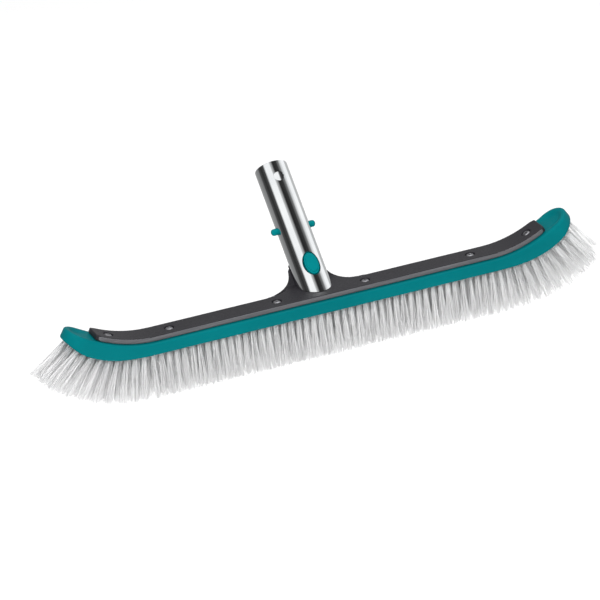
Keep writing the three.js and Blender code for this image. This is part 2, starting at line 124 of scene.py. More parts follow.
class Nodes:
    """A material's node tree, with short calls for the nodes that the finishes share."""

    def __init__(self, name):
        self.material = bpy.data.materials.new(name)
        self.material.use_nodes = True
        self.tree = self.material.node_tree
        self.shader = self.tree.nodes["Principled BSDF"]
        self.place = self.add("ShaderNodeTexCoord").outputs["Object"]

    def add(self, kind, **settings):
        node = self.tree.nodes.new(kind)
        for key, value in settings.items():
            setattr(node, key, value)
        return node

    def link(self, source, target):
        self.tree.links.new(source, target)

    def set(self, **values):
        for key, value in values.items():
            self.shader.inputs[key.replace("_", " ")].default_value = value

    def stretched(self, scale):
        mapping = self.add("ShaderNodeMapping")
        mapping.inputs["Scale"].default_value = scale
        self.link(self.place, mapping.inputs["Vector"])
        return mapping.outputs["Vector"]

    def noise(self, scale, detail=2.0, vector=None):
        node = self.add("ShaderNodeTexNoise")
        node.inputs["Scale"].default_value = scale
        node.inputs["Detail"].default_value = detail
        self.link(vector or self.place, node.inputs["Vector"])
        return node.outputs["Fac"]

    def spread(self, fac, low, high, start=0.0, end=1.0):
        node = self.add("ShaderNodeMapRange")
        node.inputs["From Min"].default_value = start
        node.inputs["From Max"].default_value = end
        node.inputs["To Min"].default_value = low
        node.inputs["To Max"].default_value = high
        self.link(fac, node.inputs["Value"])
        return node.outputs["Result"]

    def mix(self, fac, first, second):
        node = self.add("ShaderNodeMix", data_type="RGBA")
        self.link(fac, node.inputs["Factor"])
        for socket, colour in (("A", first), ("B", second)):
            target = next(i for i in node.inputs if i.name == socket and i.type == "RGBA")
            if isinstance(colour, tuple):
                target.default_value = colour
            else:
                self.link(colour, target)
        return next(o for o in node.outputs if o.type == "RGBA")

    def bump(self, height, distance, strength=1.0, after=None):
        node = self.add("ShaderNodeBump")
        node.inputs["Strength"].default_value = strength
        node.inputs["Distance"].default_value = distance
        self.link(height, node.inputs["Height"])
        if after is not None:
            self.link(after, node.inputs["Normal"])
        return node.outputs["Normal"]

    def edges(self, low, high):
        """1 on sharp outer edges and 0 on flats, from the surface's own curvature."""
        point = self.add("ShaderNodeNewGeometry").outputs["Pointiness"]
        return self.spread(point, 0.0, 1.0, low, high)

    def colour(self, source):
        self.link(source, self.shader.inputs["Base Color"])

    def rough(self, source):
        self.link(source, self.shader.inputs["Roughness"])

    def normal(self, source):
        self.link(source, self.shader.inputs["Normal"])


# ---- Materials ----
TEAL_BODY = (srgb(0, 99, 104), srgb(1, 112, 117))
TEAL_LOCK = (srgb(0, 112, 117), srgb(3, 128, 133))
COAT = (srgb(34, 33, 37), srgb(42, 41, 45))
# painted highlight: the paler grey given to the coat's sharp rims
COAT_RIM_HIGHLIGHT = srgb(82, 83, 88)
# painted highlight: the paler greys given to the plate's front face
FRONT_FACE_HIGHLIGHT = (srgb(90, 90, 93), srgb(106, 106, 109))
POLISHED = (srgb(238, 240, 241), srgb(224, 227, 229))
SCREW_GREY = (150, 150, 154)
WIRE_GREY = (196, 198, 202)
STEEL_SHADE_DROP = 18                # how much darker a steel's scratches are
# painted shade: the dark grey put into the steel parts' hollows
HOLLOW_SHADE = srgb(60, 60, 62)
CLIP_BLACK = (srgb(24, 25, 27), srgb(40, 41, 44))
NYLON = (srgb(238, 238, 240), srgb(253, 253, 253))
FLOOR_WHITE = (0.93, 0.93, 0.93, 1)


def teal_plastic(name, base, light, roughness):
    """Moulded plastic with a fine spark-eroded grain, faint flow marks and slightly paler edges, which are a
    painted highlight.
    """
    nodes = Nodes(name)
    flow = nodes.noise(26.0, 3.0, nodes.stretched((0.35, 1.0, 1.0)))
    tint = nodes.mix(nodes.spread(flow, 0.0, 0.55, 0.35, 0.75), base, light)
    # painted highlight: sharp edges are mixed towards the paler teal, as if they catch the light
    edge_highlight = nodes.mix(nodes.edges(0.52, 0.62), tint, light)
    nodes.colour(edge_highlight)
    grain = nodes.noise(2600.0, 2.0)
    nodes.rough(nodes.spread(flow, roughness - 0.05, roughness + 0.07, 0.3, 0.7))
    nodes.normal(nodes.bump(grain, 0.00004, 0.5))
    nodes.set(Specular_IOR_Level=0.03)
    return nodes.material


def dark_coat():
    """Satin dark grey coat on cast aluminium: orange-peel bump, lengthwise brush lines, and paler rims that
    are a painted highlight.
    """
    nodes = Nodes("dark_satin_coat")
    cloud = nodes.noise(9.0, 4.0)
    base = nodes.mix(nodes.spread(cloud, 0.0, 1.0, 0.3, 0.7), *COAT)
    speck = nodes.noise(900.0, 2.0)
    # painted highlight: sharp rims are mixed towards a paler grey, as if they catch the light
    edge_highlight = nodes.mix(nodes.edges(0.54, 0.64), base, COAT_RIM_HIGHLIGHT)
    nodes.colour(edge_highlight)
    lines = nodes.noise(700.0, 2.0, nodes.stretched((0.04, 1.0, 1.0)))
    first = nodes.bump(lines, 0.00003, 0.35)
    nodes.normal(nodes.bump(speck, 0.00005, 0.35, first))
    nodes.rough(nodes.spread(speck, 0.36, 0.5, 0.3, 0.7))
    nodes.set(Specular_IOR_Level=0.14)
    return nodes.material


def front_face_highlight():
    """The plate's front face: a paler, slightly metallic grey that is a painted highlight for the light
    falling on that side, with fine milling lines.
    """
    nodes = Nodes("front_face_painted_highlight")
    lines = nodes.noise(1200.0, 2.0, nodes.stretched((0.02, 1.0, 1.0)))
    nodes.colour(nodes.mix(nodes.spread(lines, 0.0, 1.0, 0.3, 0.7), *FRONT_FACE_HIGHLIGHT))
    nodes.normal(nodes.bump(lines, 0.00004, 0.4))
    nodes.rough(nodes.spread(lines, 0.3, 0.42, 0.3, 0.7))
    nodes.set(Metallic=0.2, Specular_IOR_Level=0.4)
    return nodes.material


def polished_metal():
    """Polished drawn tube: faint lines along its length and small smudges in the gloss."""
    nodes = Nodes("polished_tube")
    mapping = nodes.add("ShaderNodeMapping")
    mapping.inputs["Rotation"].default_value = (HANDLE_TILT, 0, 0)
    nodes.link(nodes.place, mapping.inputs["Vector"])
    squeezed = nodes.add("ShaderNodeMapping")
    squeezed.inputs["Scale"].default_value = (1.0, 1.0, 0.012)
    nodes.link(mapping.outputs["Vector"], squeezed.inputs["Vector"])
    lines = nodes.noise(1500.0, 3.0, squeezed.outputs["Vector"])
    smudge = nodes.noise(45.0, 4.0)
    nodes.colour(nodes.mix(nodes.spread(smudge, 0.0, 1.0, 0.3, 0.75), *POLISHED))
    nodes.rough(nodes.spread(smudge, 0.05, 0.12, 0.35, 0.75))
    nodes.normal(nodes.bump(lines, 0.000012, 0.25))
    nodes.set(Metallic=1.0)
    return nodes.material


def plain_steel(name, low, high, grey):
    """Turned and tumbled steel, with fine scratches and painted shade darkening the hollows."""
    nodes = Nodes(name)
    scratch = nodes.noise(1400.0, 3.0)
    hollow_shade = nodes.edges(0.47, 0.51)
    darker = srgb(*(value - STEEL_SHADE_DROP for value in grey))
    bright = nodes.mix(nodes.spread(scratch, 0.0, 1.0, 0.3, 0.7), srgb(*grey), darker)
    # painted shade: concave spots are mixed towards dark grey
    nodes.colour(nodes.mix(hollow_shade, HOLLOW_SHADE, bright))
    nodes.rough(nodes.spread(scratch, low, high, 0.3, 0.7))
    nodes.normal(nodes.bump(scratch, 0.00002, 0.35))
    nodes.set(Metallic=1.0)
    return nodes.material


def black_plastic():
    """Black glass-filled plastic with a matte mould grain."""
    nodes = Nodes("black_moulding")
    grain = nodes.noise(1800.0, 3.0)
    nodes.colour(nodes.mix(nodes.spread(grain, 0.0, 1.0, 0.3, 0.7), *CLIP_BLACK))
    nodes.rough(nodes.spread(grain, 0.5, 0.7, 0.3, 0.7))
    nodes.normal(nodes.bump(grain, 0.00006, 0.5))
    return nodes.material


def nylon():
    """White nylon filament: each one has its own shade, and light passes a little way in."""
    nodes = Nodes("white_nylon")
    own_shade = nodes.add("ShaderNodeAttribute", attribute_name="shade").outputs["Fac"]
    nodes.colour(nodes.mix(own_shade, *NYLON))
    speck = nodes.noise(500.0, 2.0)
    nodes.rough(nodes.spread(speck, 0.38, 0.55, 0.3, 0.7))
    nodes.set(Specular_IOR_Level=0.3, Subsurface_Weight=0.7, Subsurface_Scale=0.002,
              Subsurface_Radius=(1.0, 1.0, 1.0))
    return nodes.material


def floor_material():
    nodes = Nodes("pale_floor")
    nodes.set(Base_Color=FLOOR_WHITE, Roughness=0.9, Specular_IOR_Level=0.1)
    return nodes.material


# ---- The head's curve: straight in the middle, an arc at each end ----
def smooth(low, high, value):
    """0 up to low, 1 from high, and an eased rise between them."""
    share = min(1.0, max(0.0, (value - low) / (high - low)))
    return share * share * (3 - 2 * share)


def spine(arc):
    """X, Z and slope of the body's top face at a distance along it from the middle."""
    side = -1.0 if arc < 0 else 1.0
    reach = abs(arc)
    bent = min(max(0.0, reach - STRAIGHT_HALF), TIP_START - STRAIGHT_HALF) / TURN_UP_RADIUS
    angle = bent + max(0.0, reach - TIP_START) / TIP_RADIUS
    along = (min(reach, STRAIGHT_HALF) + TURN_UP_RADIUS * math.sin(bent)
             + TIP_RADIUS * (math.sin(angle) - math.sin(bent)))
    rise = (TURN_UP_RADIUS * (1 - math.cos(bent))
            + TIP_RADIUS * (math.cos(bent) - math.cos(angle)))
    return side * along, BODY_TOP + rise, side * angle


def on_spine(arc, across, height):
    """The point at a distance along the body, across it, and square up from its top face."""
    x, z, angle = spine(arc)
    return Vector((x - math.sin(angle) * height, across, z + math.cos(angle) * height))


def body_thickness(arc):
    """The body swells where it turns up and thins towards its tips."""
    reach = abs(arc)
    swell = smooth(STRAIGHT_HALF, STRAIGHT_HALF + 50 * MM, reach)
    taper = smooth(STRAIGHT_HALF + 55 * MM, BODY_HALF_ARC + 8 * MM, reach)
    return BODY_THICKNESS + BODY_END_SWELL * (swell - 1.5 * taper)


# ---- Mesh helpers ----
def new_object(name, mesh, material):
    made = bpy.data.objects.new(name, mesh)
    if material is not None:
        mesh.materials.clear()
        mesh.materials.append(material)
    bpy.context.scene.collection.objects.link(made)
    return made


def from_points(name, points, faces, material):
    mesh = bpy.data.meshes.new(name)
    mesh.from_pydata([tuple(p) for p in points], [], faces)
    mesh.validate()
    made = new_object(name, mesh, material)
    outward(mesh)
    return made


def outward(mesh):
    bm = bmesh.new()
    bm.from_mesh(mesh)
    bmesh.ops.recalc_face_normals(bm, faces=bm.faces)
    bm.to_mesh(mesh)
    bm.free()


def shade(made, degrees):
    made.data.shade_smooth()
    made.data.set_sharp_from_angle(angle=math.radians(degrees))


def apply_modifiers(made):
    graph = bpy.context.evaluated_depsgraph_get()
    graph.update()
    finished = bpy.data.meshes.new_from_object(made.evaluated_get(graph))
    made.modifiers.clear()
    made.data = finished


def modifier(made, kind, **settings):
    added = made.modifiers.new(kind.lower(), kind)
    for key, value in settings.items():
        setattr(added, key, value)
    return added


def boolean(made, tools, operation="DIFFERENCE"):
    for tool in tools:
        modifier(made, "BOOLEAN", object=tool, operation=operation, solver="EXACT")
    apply_modifiers(made)
    for tool in tools:
        bpy.data.objects.remove(tool)


def finish_piece(made, body, slot, *nodes):
    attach(made, body)
    if nodes:
        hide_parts(*nodes)


def lathe(name, profile, segments, matrix, material):
    """A solid turned about Z from a profile of (radius, height) that starts and ends on the axis."""
    points, faces, rings = [], [], []
    for radius, height in profile:
        if radius < 1e-9:
            rings.append([len(points)])
            points.append(matrix @ Vector((0, 0, height)))
            continue
        rings.append(list(range(len(points), len(points) + segments)))
        for step in range(segments):
            turn = 2 * math.pi * step / segments
            points.append(matrix @ Vector((radius * math.cos(turn), radius * math.sin(turn), height)))
    for lower, upper in zip(rings, rings[1:]):
        for step in range(segments):
            after = (step + 1) % segments
            if len(lower) == 1:
                faces.append((lower[0], upper[step], upper[after]))
            elif len(upper) == 1:
                faces.append((lower[step], lower[after], upper[0]))
            else:
                faces.append((lower[step], lower[after], upper[after], upper[step]))
    return from_points(name, points, faces, material)


def rod(radius, low, high, matrix, segments):
    """A round cutting tool along its matrix's Z."""
    return lathe("tool", [(0, low), (radius, low), (radius, high), (0, high)], segments, matrix, None)


def prism(outline, axis, low, high):
    """A solid with a flat outline, drawn out along one axis (0 for X, 1 for Y, 2 for Z)."""
    count = len(outline)
    points = []
    for level in (low, high):
        for a, b in outline:
            point = [a, b]
            point.insert(axis, level)
            points.append(Vector(point))
    faces = [tuple(range(count)), tuple(range(count, 2 * count))]
    faces += [(i, (i + 1) % count, count + (i + 1) % count, count + i) for i in range(count)]
    return from_points("tool", points, faces, None)


def slab(low, high):
    """A wide cutting tool between two heights."""
    half = 100 * MM
    return prism([(-half, -half), (half, -half), (half, half), (-half, half)], 2, low, high)


def moulded(name, node, voxel, passes, material, body, slot, reshape=None):
    """A soft-edged copy of a frame node: remeshed finely and relaxed, as a casting or moulding is."""
    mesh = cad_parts[node].data.copy()
    made = new_object(name, mesh, material)
    if reshape:
        reshape(made)
    modifier(made, "REMESH", mode="VOXEL", voxel_size=voxel, adaptivity=0.0)
    modifier(made, "SMOOTH", factor=0.5, iterations=passes)
    apply_modifiers(made)
    made.data.materials.clear()
    made.data.materials.append(material)
    made.data.shade_smooth()
    finish_piece(made, body, slot, node)
    return made


# ---- Body ----
BODY_TOP_ROUND = 2.0 * MM
BODY_UNDER_ROUND = 1.2 * MM
TOP_RING_INSETS = (2.6, 3.2, 4.0, 5.0, 6.2, 7.6, 9.2, 11.0, 13.0, 15.0)     # millimetres
DISH_DEPTH = 2.2 * MM
SEAT_RISE = 0.2 * MM
STRAIGHT_STEPS = 96
END_STEPS = 28


def stadium(inset):
    """(arc, across) points round the body's outline, drawn in by inset; the same count for every inset."""
    half_width = BODY_WIDTH / 2 - inset
    centre = BODY_HALF_ARC - BODY_WIDTH / 2
    points = []
    for side in (1, -1):
        for step in range(END_STEPS + 1):
            turn = -math.pi / 2 + math.pi * step / END_STEPS
            along, across = centre + half_width * math.cos(turn), half_width * math.sin(turn)
            points.append((side * along, side * across))
        for step in range(1, STRAIGHT_STEPS):
            points.append((side * (centre - 2 * centre * step / STRAIGHT_STEPS), side * half_width))
    return points


def end_dish(arc, inset):
    """How far the top face is sunk near a tip, inside the raised rim."""
    past_plate = smooth(PLATE_HALF_ARC - 4 * MM, PLATE_HALF_ARC + 12 * MM, abs(arc))
    inside_rim = smooth(3.0 * MM, 8.0 * MM, inset)
    return DISH_DEPTH * past_plate * inside_rim


def seat_height(arc, inset):
    """The low pad under the plate, which closes most of the gap between them."""
    under_plate = 1 - smooth(PLATE_HALF_ARC - 8 * MM, PLATE_HALF_ARC - 5 * MM, abs(arc))
    return SEAT_RISE * under_plate * smooth(3.4 * MM, 4.2 * MM, inset)


def body_rings():
    """(inset, height function) of each ring, from the underside, round the edges, to the top's middle."""
    rings = []
    for step in range(4):
        turn = math.pi / 2 * step / 3
        rings.append((BODY_UNDER_ROUND * (1 - math.sin(turn)), lambda arc, inset, turn=turn:
                      -body_thickness(arc) + BODY_UNDER_ROUND * (1 - math.cos(turn))))
    for step in range(6):
        turn = math.pi / 2 * step / 5
        rings.append((BODY_TOP_ROUND * (1 - math.cos(turn)), lambda arc, inset, turn=turn:
                      -BODY_TOP_ROUND * (1 - math.sin(turn))))
    for inset in TOP_RING_INSETS:
        rings.append((inset * MM, lambda arc, inset: seat_height(arc, inset) - end_dish(arc, inset)))
    return rings


def make_body(material):
    points, faces = [], []
    rings = body_rings()
    for inset, height in rings:
        points += [on_spine(arc, across, height(arc, inset)) for arc, across in stadium(inset)]
    count = len(points) // len(rings)
    for ring in range(len(rings) - 1):
        for step in range(count):
            a, b = ring * count + step, ring * count + (step + 1) % count
            faces.append((a, b, b + count, a + count))
    for base in (0, (len(rings) - 1) * count):
        faces += strip_between(base, count)
    body = from_points("body_moulding", points, faces, material)
    shade(body, 50)
    finish_piece(body, "brush", "teal_body", "brush_body")


def strip_between(base, count):
    """Faces that close a stadium ring by joining each point to the one across the body from it."""
    right_tip = END_STEPS // 2
    faces = []
    for step in range(count // 2):
        sides = (right_tip + step, right_tip + step + 1, right_tip - step - 1, right_tip - step)
        corners = list(dict.fromkeys(base + point % count for point in sides))
        if len(corners) >= 3:
            faces.append(tuple(corners))
    return faces


# ---- Plate and neck ----
WEB_FRONT = 5.5 * MM                 # in the handle's frame, behind the tube's axis
WEB_BACK = 10 * MM
WEB_OVERLAP = 0.5 * MM
WEB_TOP = 21 * MM
WEB_HALF_WIDTH = 44 * MM
WEB_ROOT = -12 * MM                  # low enough to end inside or behind the plate's edge
WEB_CLEARANCE = 0.15 * MM
WEB_UNDERSIDE = PLATE_TOP - 4.2 * MM
FOOT_CORNER = [(21, 22.5), (17, 30), (12, 34), (12, 60), (60, 60), (60, 22.5)]      # what the foot loses, mm
PLATE_EDGE_DEPTH = 0.8 * MM


def web_outline():
    """The web's two flares, which sweep up from the plate to the tube's sides."""
    start, pull, end = (WEB_HALF_WIDTH, 0), (16.5 * MM, 1 * MM), (14.4 * MM, WEB_TOP)
    side = [(WEB_HALF_WIDTH, WEB_ROOT)]
    for step in range(15):
        t = step / 14
        weights = ((1 - t) ** 2, 2 * t * (1 - t), t * t)
        side.append(tuple(sum(w * v for w, v in zip(weights, values)) for values in zip(start, pull, end)))
    return side + [(-x, z) for x, z in reversed(side)]


def make_web():
    web = prism(web_outline(), 1, WEB_FRONT, WEB_BACK + WEB_OVERLAP)
    web.data.transform(HANDLE)
    below = slab(WEB_UNDERSIDE - 100 * MM, WEB_UNDERSIDE)
    bore = rod(TUBE_RADIUS + WEB_CLEARANCE, -60 * MM, 60 * MM, HANDLE, 96)
    boolean(web, [below, bore])
    return web


def reshape_neck(casting):
    """Set the web back beside the tube, so that the tube's sides show down to the plate."""
    level = PLATE_TOP + 0.05 * MM
    reach = 60 * MM
    behind = HANDLE_FOOT.y + WEB_BACK * math.sqrt(2)
    in_front = prism([(-reach, level), (behind, level), (behind + 2 * reach, level + 2 * reach),
                      (-reach, level + 2 * reach)], 0, -reach, reach)
    tools = [in_front]
    for side in (1, -1):
        outline = [(side * x * MM, y * MM) for x, y in FOOT_CORNER]
        tools.append(prism(outline, 2, PLATE_TOP - 9 * MM, PLATE_TOP + 1 * MM))
    boolean(casting, tools)
    boolean(casting, [make_web()], "UNION")


def make_plate(coat, edge):
    plate = moulded("back_casting", "back_plate", 0.62 * MM, 5, coat, "brush", "dark_plate", reshape_neck)
    plate.data.materials.append(edge)
    # painted highlight: only the front face, towards the camera and the light, gets the paler grey
    for face in plate.data.polygons:
        if face.normal.y < -0.8 and face.center.y < -PLATE_WIDTH / 2 + PLATE_EDGE_DEPTH:
            face.material_index = 1


# ---- Screws ----
PLATE_SCREW = {"head_radius": 3.5 * MM, "head_height": 1.7 * MM, "shank_radius": 1.8 * MM, "length": 9 * MM}
CRADLE_SCREW = {"head_radius": 3 * MM, "head_height": 1.8 * MM, "shank_radius": 1.6 * MM, "length": 9.4 * MM}
CLIP_SCREW = {"head_radius": 2.1 * MM, "head_height": 1.3 * MM, "shank_radius": 1.2 * MM, "length": 9.6 * MM}
CRADLE_SEAT = 16.65 * MM             # depth of the cradle screws' heads behind the tube's axis
CLIP_SEAT = -6.7 * MM                # depth of the clip screws' heads, in front of the axis
CLIP_SCREW_HEIGHT = 64 * MM
CLIP_SCREW_REACH = 5.5 * MM


def screw_profile(head_radius, head_height, shank_radius, length):
    """A pan head on a shank, with the head's underside at height 0."""
    rim = 0.15 * MM
    point = 1.5 * MM
    points = [(0, -length), (shank_radius * 0.4, -length), (shank_radius, point - length),
              (shank_radius, 0), (head_radius * 0.96, 0), (head_radius, rim)]
    for step in range(1, 9):
        turn = math.pi / 2 * step / 8
        height = rim + (head_height - rim) * math.sin(turn)
        points.append((head_radius * (0.45 + 0.55 * math.cos(turn)), height))
    points.append((0, head_height))
    return points


def driver_bar(head_radius, head_height, turn):
    """One tapered bar of a cross recess."""
    length, width, depth = head_radius * 1.15, head_radius * 0.3, head_height * 0.55
    bm = bmesh.new()
    bmesh.ops.create_cube(bm, size=1.0)
    for vert in bm.verts:
        upper = vert.co.z > 0
        share = 1.0 if upper else 0.5
        height = head_height + 1 * MM if upper else head_height - depth
        vert.co = Vector((vert.co.x * length * share, vert.co.y * width, height))
        vert.co = Matrix.Rotation(turn, 3, "Z") @ vert.co
    mesh = bpy.data.meshes.new("tool")
    bm.to_mesh(mesh)
    bm.free()
    return new_object("tool", mesh, None)


def make_screw(name, node, matrix, kind, material):
    screw = lathe(name, screw_profile(**kind), 40, Matrix.Identity(4), material)
    # the two bars are cut one by one, so that they needn't be joined first
    for turn in (0, math.pi / 2):
        boolean(screw, [driver_bar(kind["head_radius"], kind["head_height"], turn)])
    screw.data.materials.clear()
    screw.data.materials.append(material)
    screw.data.transform(matrix)
    outward(screw.data)
    shade(screw, 35)
    finish_piece(screw, "brush", "screw_steel", node)


def make_back_screws(material):
    rng = random.Random(5)
    for place, arc in SCREW_ARCS.items():
        _, _, angle = spine(arc * MM)
        seat = on_spine(arc * MM, 0, PLATE_TOP - BODY_TOP - SCREW_RECESS + 0.1 * MM)
        matrix = (Matrix.Translation(seat) @ Matrix.Rotation(-angle, 4, "Y")
                  @ Matrix.Rotation(rng.uniform(0, math.pi / 2), 4, "Z"))
        make_screw("plate_screw_" + place, "back_screw_" + place, matrix, PLATE_SCREW, material)


def make_handle_screws(material):
    from_behind = Matrix.Rotation(-math.pi / 2, 4, "X")
    from_front = Matrix.Rotation(math.pi / 2, 4, "X")
    for number, height in enumerate(CRADLE_SCREW_HEIGHTS, 1):
        matrix = HANDLE @ Matrix.Translation((0, CRADLE_SEAT, height)) @ from_behind
        make_screw(f"neck_screw_{number}", f"cradle_screw_{number}", matrix, CRADLE_SCREW, material)
    for side, x in (("left", -CLIP_SCREW_REACH), ("right", CLIP_SCREW_REACH)):
        matrix = HANDLE @ Matrix.Translation((x, CLIP_SEAT, CLIP_SCREW_HEIGHT)) @ from_front
        make_screw(f"cover_screw_{side}", f"clip_screw_{side}", matrix, CLIP_SCREW, material)


# ---- Handle tube ----
PIN_HOLE_RADIUS = 3.25 * MM
TOP_HOLE_RADIUS = 4.4 * MM
SLOT_HALF_WIDTH = 7.2 * MM
SLOT_HALF_LENGTH = 11.0 * MM
CRADLE_SCREW_HOLE_RADIUS = 1.9 * MM
TUBE_LIP = 0.35 * MM
TUBE_START = -30 * MM                # below the plate's top, where the tube is cut off level
TUBE_SEGMENTS = 160


def slot_tool():
    """The oval prism that opens the button's slot through the tube's front wall."""
    count = 96
    turns = [2 * math.pi * step / count for step in range(count)]
    outline = [(SLOT_HALF_WIDTH * math.cos(turn), BUTTON_HEIGHT + SLOT_HALF_LENGTH * math.sin(turn))
               for turn in turns]
    return prism(outline, 1, -20 * MM, -5 * MM)


def tube_profile():
    """(radius, height) round the wall's section: up the outside, over the rounded mouth."""
    start = TUBE_START + 1 * MM
    profile = [(BORE_RADIUS, TUBE_START), (TUBE_RADIUS, TUBE_START)]
    profile += [(TUBE_RADIUS, start + (TUBE_TOP - 1 * MM - start) * step / 28) for step in range(29)]
    turns = [math.pi / 2 * step / 4 for step in range(5)]
    mouth = TUBE_TOP - TUBE_LIP
    outer, inner = TUBE_RADIUS - TUBE_LIP, BORE_RADIUS + TUBE_LIP
    for turn in turns[1:]:
        profile.append((outer + TUBE_LIP * math.cos(turn), mouth + TUBE_LIP * math.sin(turn)))
    for turn in turns:
        profile.append((inner - TUBE_LIP * math.sin(turn), mouth + TUBE_LIP * math.cos(turn)))
    return profile


def tube_tools():
    """What is cut from the tube, in the handle's frame: its holes, its slot and its foot."""
    along_x = Matrix.Rotation(math.pi / 2, 4, "Y")
    along_y = Matrix.Rotation(-math.pi / 2, 4, "X")
    through = 20 * MM
    at_pins = Matrix.Translation((0, 0, PIN_HEIGHT))
    at_top = Matrix.Translation((0, 0, TOP_HOLE_HEIGHT))
    tools = [rod(PIN_HOLE_RADIUS, -through, through, at_pins @ along_x, 64),
             rod(TOP_HOLE_RADIUS, -through, through, at_top @ along_y, 80),
             slot_tool()]
    for height in CRADLE_SCREW_HEIGHTS:
        place = Matrix.Translation((0, 0, height)) @ along_y
        tools.append(rod(CRADLE_SCREW_HOLE_RADIUS, 5 * MM, through, place, 32))
    level = PLATE_TOP + 0.3 * MM
    foot = slab(level - 200 * MM, level)
    foot.data.transform(HANDLE.inverted())
    tools.append(foot)
    return tools


def make_tube(material):
    profile = tube_profile()
    points, faces = [], []
    for radius, height in profile:
        for step in range(TUBE_SEGMENTS):
            turn = 2 * math.pi * step / TUBE_SEGMENTS
            points.append(Vector((radius * math.cos(turn), radius * math.sin(turn), height)))
    rings = len(profile)
    for ring in range(rings):
        below, above = ring * TUBE_SEGMENTS, (ring + 1) % rings * TUBE_SEGMENTS
        for step in range(TUBE_SEGMENTS):
            after = (step + 1) % TUBE_SEGMENTS
            faces.append((below + step, below + after, above + after, above + step))
    tube = from_points("polished_socket_tube", points, faces, material)
    boolean(tube, tube_tools())
    tube.data.transform(HANDLE)
    tube.data.materials.clear()
    tube.data.materials.append(material)
    outward(tube.data)
    shade(tube, 25)
    modifier(tube, "WEIGHTED_NORMAL", keep_sharp=True, weight=80)
    finish_piece(tube, "brush", "polished_tube", "handle_tube")


# ---- Lock parts ----
FINE_VOXEL = 0.28 * MM
CLIP_VOXEL = 0.4 * MM


def make_spring(material):
    """The coil between the two lock sliders, with closed end turns."""
    half, radius, wire = 7.3 * MM, 2.3 * MM, 0.42 * MM
    turns, steps_per_turn, sides = 7, 28, 10
    steps = turns * steps_per_turn
    points, faces = [], []
    for step in range(steps + 1):
        share = step / steps
        turn = 2 * math.pi * turns * share
        flat = min(smooth(0, 1, share * turns), smooth(0, 1, (1 - share) * turns))
        lead = (half - wire) * (2 * share - 1)
        closed = math.copysign(half - wire, lead)
        x = lead * flat + closed * (1 - flat)
        out = Vector((0, math.cos(turn), math.sin(turn)))
        for side in range(sides):
            around = 2 * math.pi * side / sides
            points.append(Vector((x, 0, PIN_HEIGHT)) + out * (radius + wire * math.cos(around))
                          + Vector((wire * math.sin(around), 0, 0)))
    for step in range(steps):
        for side in range(sides):
            after = (side + 1) % sides
            faces.append((step * sides + side, step * sides + after,
                          (step + 1) * sides + after, (step + 1) * sides + side))
    faces.append(tuple(range(sides)))
    faces.append(tuple(steps * sides + side for side in reversed(range(sides))))
    spring = from_points("lock_coil", [HANDLE @ p for p in points], faces, material)
    spring.data.shade_smooth()
    finish_piece(spring, "brush", "spring_steel", "pin_spring")
    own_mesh(spring)


# ---- Bristles ----
FILAMENT_RADIUS = 0.2 * MM
FILAMENTS_PER_TUFT = 30
TUFT_PITCH = 6.6 * MM
TUFT_RADIUS = 1.6 * MM
FILAMENT_SIDES = 3
FILAMENT_RINGS = 4
ROOT_DEPTH = 1.5 * MM                # how far the filaments start inside the body
LEFT_FAN = -0.36                     # extra lean along the body at the very ends
RIGHT_FAN = 0.10
SPREAD_ACROSS = 0.85
FLOOR_GAP = 0.1 * MM


def tuft_arcs(across, stagger):
    """The tufts' places along one row, and the distance from the middle to the last one."""
    inset = 5 * MM
    radius = BODY_WIDTH / 2 - inset + 1.5 * MM
    reach = BODY_HALF_ARC - inset - radius + math.sqrt(max(0.0, radius ** 2 - across ** 2))
    count = int(2 * reach / TUFT_PITCH)
    pitch = 2 * reach / count
    start = -reach + (pitch / 2 if stagger else 0)
    return [start + pitch * i for i in range(count if stagger else count + 1)], reach


def add_filament(points, faces, shades, rng, root, tip, bow):
    """One nylon filament, a thin prism from root to tip that bends by bow."""
    along = (tip - root).normalized()
    side = along.cross(Vector((0, 1, 0))).normalized()
    other = along.cross(side)
    base = len(points)
    phase = rng.uniform(0, 2 * math.pi)
    tone = rng.uniform(0.25, 1.0)
    for ring in range(FILAMENT_RINGS):
        share = ring / (FILAMENT_RINGS - 1)
        centre = root.lerp(tip, share) + bow * (share * share)
        for step in range(FILAMENT_SIDES):
            turn = phase + 2 * math.pi * step / FILAMENT_SIDES
            points.append(centre + (side * math.cos(turn) + other * math.sin(turn)) * FILAMENT_RADIUS)
            shades.append(tone)
    for ring in range(FILAMENT_RINGS - 1):
        for step in range(FILAMENT_SIDES):
            a = base + ring * FILAMENT_SIDES + step
            b = base + ring * FILAMENT_SIDES + (step + 1) % FILAMENT_SIDES
            faces.append((a, b, b + FILAMENT_SIDES, a + FILAMENT_SIDES))
    faces.append(tuple(base + step for step in reversed(range(FILAMENT_SIDES))))
    last = base + (FILAMENT_RINGS - 1) * FILAMENT_SIDES
    faces.append(tuple(last + step for step in range(FILAMENT_SIDES)))


